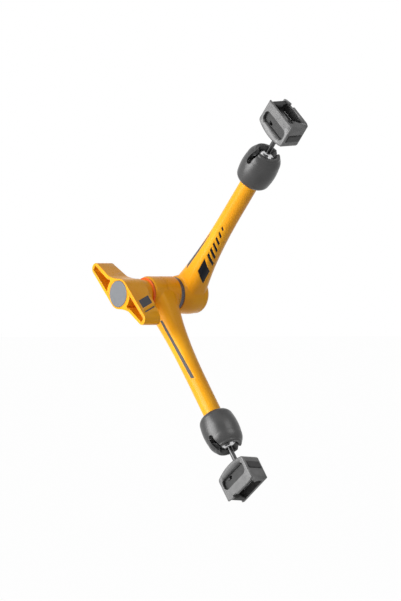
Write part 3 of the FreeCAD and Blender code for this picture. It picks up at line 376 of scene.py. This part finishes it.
refined("locking_knob", "wing_knob", yellow)
refined("knob_inlays", "wing_knob_rhombs", slate_fill())
refined("knob_cap", "wing_knob_cap", blasted_disc())


# Each ball joint is a barrel-shaped socket turned from aluminium and anodised dark, with two slots
# milled through its lip. The steel ball in it is polished and its neck blackened, and a moulded seat
# presses on the ball from behind.
BALL_RADIUS = 6.5 * MM
SOCKET_LINES = 5200.0
ANODISED_DARK = (0.026, 0.026, 0.027, 1)
ANODISED_GREY = (0.12, 0.119, 0.118, 1)
POLISHED_DULL = (0.5, 0.5, 0.51, 1)
POLISHED = (0.66, 0.66, 0.66, 1)
NECK_BLACK = (0.03, 0.03, 0.031, 1)
NECK_GREY = (0.13, 0.13, 0.13, 1)
SCREW_GREY = (0.2, 0.2, 0.2, 1)
SCREW_BLACK = (0.05, 0.05, 0.052, 1)
SEAT_DEEP = (0.58, 0.56, 0.5, 1)
SEAT_PALE = (0.7, 0.68, 0.62, 1)


def dark_anodising(name, origin, direction):
    """Dark grey anodising over turned aluminium: rings across the axis under a satin gloss."""
    finish, shader, place = new_finish(name, Metallic=0.6, Specular_IOR_Level=0.3)
    ring = place.along(origin, direction).rings(SOCKET_LINES)
    cloud = place.noise(120.0, 3.0)
    connect(
        shader,
        Base_Color=(ring * 0.55 + cloud * 0.45).blend(ANODISED_DARK, ANODISED_GREY),
        Roughness=0.3 + ring * 0.1,
        Normal=ring.bumped(0.003 * MM),
    )
    return finish


def ball_and_neck(name, centre, direction):
    """Turned steel: bright and smooth on the ball, blackened on the neck, collar and shank beyond it."""
    finish, shader, place = new_finish(name, Metallic=1.0)
    ring = place.along(centre, direction).rings(TOOL_LINES)
    beyond = place.away_from(centre).steps(BALL_RADIUS + 0.1 * MM, BALL_RADIUS + 0.5 * MM)
    polished = ring.blend(POLISHED_DULL, POLISHED)
    blackened = ring.blend(NECK_BLACK, NECK_GREY)
    connect(
        shader,
        Base_Color=beyond.blend(polished, blackened),
        Roughness=0.14 + beyond * 0.12 + ring * 0.1,
        Normal=ring.bumped(0.004 * MM),
    )
    return finish


def moulded_seat():
    """Natural moulded plastic of the ball seats."""
    finish, shader, place = new_finish("seat_plastic")
    cloud = place.noise(900.0)
    connect(
        shader,
        Base_Color=cloud.blend(SEAT_DEEP, SEAT_PALE),
        Roughness=0.4 + cloud * 0.15,
        Normal=cloud.bumped(0.01 * MM),
    )
    return finish


seat_plastic = moulded_seat()
for side in ("lower", "upper"):
    screw_steel = turned_steel(side + "_screw_steel", SCREW_GREY, SCREW_BLACK, 0.24,
                               balls[side], arm_lines[side])
    anodising = dark_anodising(side + "_socket_anodising", balls[side], arm_lines[side])
    refined(side + "_socket", side + "_socket_barrel", anodising)
    refined(side + "_ball_seat", side + "_seat_shell", seat_plastic)
    refined(side + "_ball_stud", side + "_stud",
            ball_and_neck(side + "_stud_steel", balls[side], arm_lines[side]))
    refined(side + "_ball_screw", side + "_stud_screw", screw_steel)


# Each quick-release head is milled from aluminium and anodised grey, and its sliding latch is anodised
# nearly black. A dowel guides the latch, and a coil spring sits behind the button, given a mesh of its own.
HEAD_DEEP = (0.085, 0.085, 0.087, 1)
HEAD_GREY = (0.2, 0.199, 0.197, 1)
LATCH_BLACK = (0.02, 0.02, 0.021, 1)
LATCH_GREY = (0.055, 0.055, 0.054, 1)
DOWEL_GREY = (0.05, 0.05, 0.052, 1)
DOWEL_BLACK = (0.02, 0.02, 0.021, 1)


def milled_grey(name, dark, light, roughness):
    """Bead-blasted and anodised grey with a little cloud in its depth."""
    finish, shader, place = new_finish(name, Metallic=0.35, Specular_IOR_Level=0.3)
    blast = place.noise(6200.0, 3.0)
    cloud = place.noise(240.0, 3.0)
    connect(
        shader,
        Base_Color=(cloud * 0.7 + blast * 0.3).blend(dark, light),
        Roughness=roughness + blast * 0.1,
        Normal=blast.bumped(0.003 * MM),
    )
    return finish


head_grey = milled_grey("head_anodising", HEAD_DEEP, HEAD_GREY, 0.36)
latch_grey = milled_grey("latch_anodising", LATCH_BLACK, LATCH_GREY, 0.4)
for side in ("lower", "upper"):
    outward = press_lines[side]
    black_steel = turned_steel(side + "_black_steel", DOWEL_GREY, DOWEL_BLACK, 0.34, balls[side], outward)
    spring_steel = turned_steel(side + "_spring_steel", STEEL, STEEL_DULL, 0.2, balls[side], outward)
    refined(side + "_head", side + "_head_body", head_grey)
    refined(side + "_latch", side + "_latch_slide", latch_grey)
    refined(side + "_latch_pin", side + "_latch_dowel", black_steel)
    coil = refined(side + "_latch_spring", side + "_latch_coil", spring_steel)
    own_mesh(coil)


# Plain pale floor and soft studio light. The main softbox stands well to the left of the camera and a
# little above the elbow, so the arms are bright on their left and fall off to a deep orange on their right.
FLOOR_DROP = 90 * MM
FLOOR_SPAN = 120.0
FLOOR_GLOW = 0.985
ROOM_LIGHT = 0.09
SENSOR_HEIGHT = 36.0
VIEW_AZIMUTH = math.radians(51)
VIEW_DISTANCE = 9.0
IMAGE_WIDTH = 401
IMAGE_HEIGHT = 601
PIXEL = 0.62 * MM
ELBOW_PIXEL = (172.5, 294.0)
FLOOR_PALE = (0.66, 0.66, 0.66, 1)
FLOOR_PALER = (0.7, 0.7, 0.7, 1)


def backdrop_rays(tree):
    """1 for the rays that show the backdrop: those of the camera, of mirrors and of clear glass."""
    path = tree.nodes.new("ShaderNodeLightPath")
    seen = Shade(tree, path.outputs["Is Camera Ray"]) + Shade(tree, path.outputs["Is Glossy Ray"])
    seen = seen + Shade(tree, path.outputs["Is Transmission Ray"])
    return seen.math("MINIMUM", seen, 1.0)


def pale_floor():
    """Pale matt floor that a camera, a mirror or clear glass sees as near white, with a trace of shadow."""
    finish, shader, place = new_finish("pale_floor", Roughness=0.9)
    cloud = place.noise(1.5)
    connect(shader, Base_Color=cloud.blend(FLOOR_PALE, FLOOR_PALER))
    tree = finish.node_tree
    glow = tree.nodes.new("ShaderNodeEmission")
    glow.inputs["Color"].default_value = (1, 1, 1, 1)
    mix = tree.nodes.new("ShaderNodeMixShader")
    tree.links.new((backdrop_rays(tree) * FLOOR_GLOW).socket, mix.inputs["Fac"])
    tree.links.new(shader.outputs["BSDF"], mix.inputs[1])
    tree.links.new(glow.outputs["Emission"], mix.inputs[2])
    tree.links.new(mix.outputs["Shader"], tree.nodes["Material Output"].inputs["Surface"])
    return finish


bpy.ops.object.select_all(action="DESELECT")
bpy.ops.mesh.primitive_grid_add(x_subdivisions=8, y_subdivisions=8, size=FLOOR_SPAN)
floor = bpy.context.active_object
floor.name = "floor"
floor.data.transform(Matrix.Translation((elbow.x, elbow.y, cad_box[0].z - FLOOR_DROP)))
dressed(floor, pale_floor())


def softbox(name, direction, distance, size, power):
    """Square area light aimed at the elbow, its distance and size in metres and its power in watts."""
    data = bpy.data.lights.new(name, "AREA")
    data.size = size
    data.energy = power
    lamp = bpy.data.objects.new(name, data)
    bpy.context.scene.collection.objects.link(lamp)
    away = Vector(direction).normalized()
    lamp.location = elbow + away * distance
    lamp.rotation_euler = away.to_track_quat("Z", "Y").to_euler()


softbox("key", (-0.22, -0.95, 0.2), 0.9, 0.75, 12.0)
softbox("side", (0.767, 0.152, 0.6), 1.0, 0.6, 2.5)
softbox("top", (0.0, -0.3, 1.0), 1.0, 0.6, 0.4)

world = bpy.data.worlds.new("studio")
bpy.context.scene.world = world
world.use_nodes = True
sky = world.node_tree
room = sky.nodes["Background"]
room.inputs["Color"].default_value = (1, 1, 1, 1)
room.inputs["Strength"].default_value = ROOM_LIGHT
white = sky.nodes.new("ShaderNodeBackground")
white.inputs["Color"].default_value = (1, 1, 1, 1)
white.inputs["Strength"].default_value = 1.0
choice = sky.nodes.new("ShaderNodeMixShader")
sky.links.new(backdrop_rays(sky).socket, choice.inputs["Fac"])
sky.links.new(room.outputs["Background"], choice.inputs[1])
sky.links.new(white.outputs["Background"], choice.inputs[2])
sky.links.new(choice.outputs["Shader"], sky.nodes["World Output"].inputs["Surface"])

# The camera stands level with the arm, far enough off that the picture is nearly free of perspective.
back = Vector((math.sin(VIEW_AZIMUTH), -math.cos(VIEW_AZIMUTH), 0))
right = Vector((math.cos(VIEW_AZIMUTH), math.sin(VIEW_AZIMUTH), 0))
aim = elbow + right * ((IMAGE_WIDTH / 2 - ELBOW_PIXEL[0]) * PIXEL)
aim.z -= (IMAGE_HEIGHT / 2 - ELBOW_PIXEL[1]) * PIXEL
camera_data = bpy.data.cameras.new("camera")
camera_data.sensor_fit = "VERTICAL"
camera_data.sensor_height = SENSOR_HEIGHT
camera_data.lens = SENSOR_HEIGHT * VIEW_DISTANCE / (IMAGE_HEIGHT * PIXEL)
camera = bpy.data.objects.new("camera", camera_data)
bpy.context.scene.collection.objects.link(camera)
camera.location = aim + back * VIEW_DISTANCE
camera.rotation_euler = back.to_track_quat("Z", "Y").to_euler()
bpy.context.scene.camera = camera
bpy.context.scene.view_settings.view_transform = "Standard"
